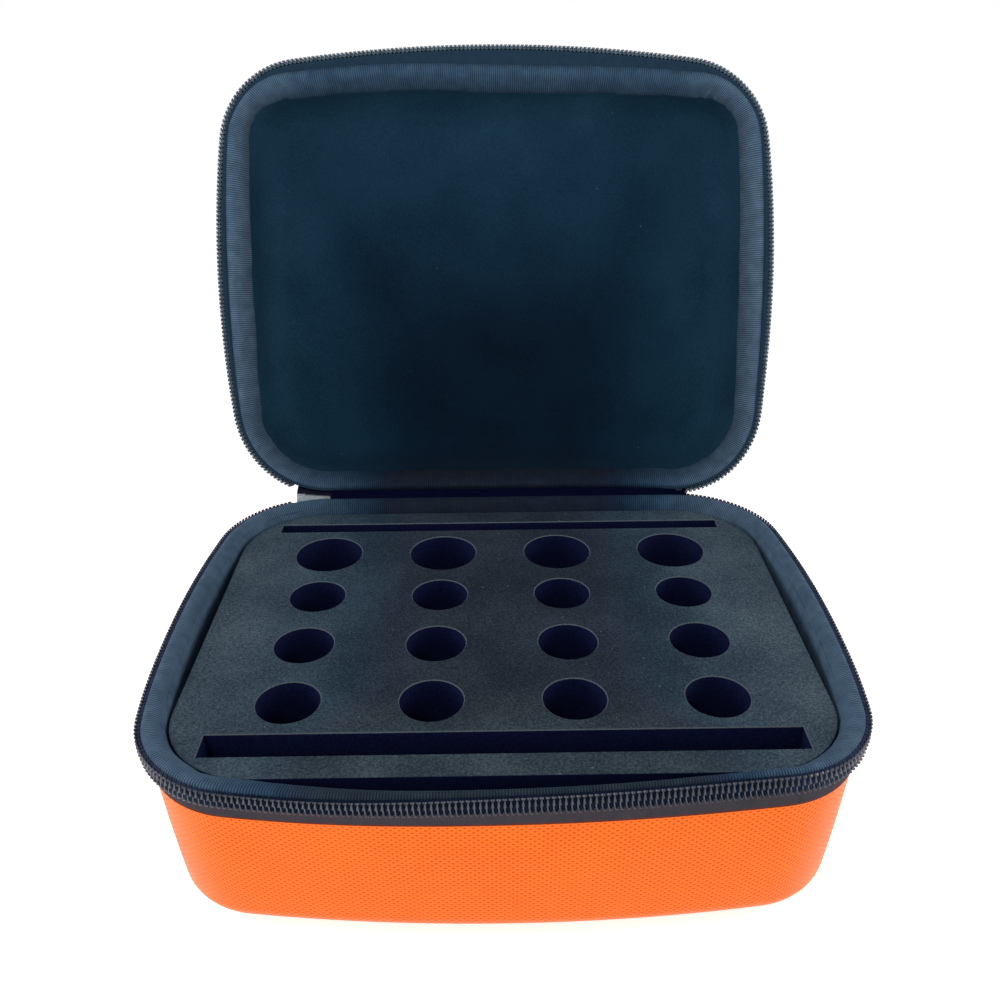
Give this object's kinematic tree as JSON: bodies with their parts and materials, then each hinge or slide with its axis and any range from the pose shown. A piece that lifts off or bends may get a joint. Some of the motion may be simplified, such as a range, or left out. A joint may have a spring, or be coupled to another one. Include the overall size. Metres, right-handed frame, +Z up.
{
  "type": "essential oil storage box",
  "caption": "Zipped hard-shell storage case for small bottles, standing open, with a hinged lid and a foam insert cut with round wells and flat slots.",
  "frame": {"origin": "on the underside of the base, below the middle of the closed case's outline", "axes": "+Z up; +Y from the front towards the hinge; +X to the right when the open front is faced"},
  "size_m": [0.2544, 0.2804, 0.2656],
  "materials": {
    "cover_cloth": "orange woven nylon, coarse",
    "shell_foam": "heat-formed foam board",
    "lining_cloth": "brushed black lining",
    "binding_cloth": "ribbed black binding tape",
    "zip_tape_cloth": "woven black zip tape",
    "zip_coil": "nylon coil",
    "zip_metal": "grey coated zinc",
    "hinge_cloth": "woven black cloth",
    "foam": "closed-cell foam, cut"
  },
  "bodies": {
    "base": {"base_outer_cover": "cover_cloth", "base_shell_core": "shell_foam", "base_lining": "lining_cloth", "base_binding": "binding_cloth", "base_zip_tape": "zip_tape_cloth", "base_zip_teeth": "zip_coil", "base_zip_stop": "zip_metal", "foam_base_pad": "foam", "hinge_strip": "hinge_cloth", "hinge_facing": "hinge_cloth", "zip_slider": "zip_metal", "slider_bail": "zip_metal"},
    "lid": {"lid_outer_cover": "cover_cloth", "lid_shell_core": "shell_foam", "lid_lining": "lining_cloth", "lid_binding": "binding_cloth", "lid_zip_tape": "zip_tape_cloth", "lid_zip_teeth": "zip_coil", "lid_zip_stop": "zip_metal"},
    "insert": {"foam_insert": "foam"},
    "pull_tab": {"pull_tab": "zip_metal"}
  },
  "joints": [
    {"name": "lid_hinge", "type": "hinge", "parent": "base", "child": "lid", "pos_m": [0, 0.0993, 0.073], "axis": [-1, 0, 0], "range_deg": [-106.4, 0], "deforming": ["hinge_strip", "hinge_facing"]},
    {"name": "insert_lift", "type": "slide", "parent": "base", "child": "insert", "axis": [0, 0, 1], "range_m": [0, 0.008]},
    {"name": "pull_tab_swing", "type": "hinge", "parent": "base", "child": "pull_tab", "pos_m": [-0.09362, 0.10338, 0.067], "axis": [-0.1857, 0.9826, 0], "range_deg": [-45, 90]}
  ]
}
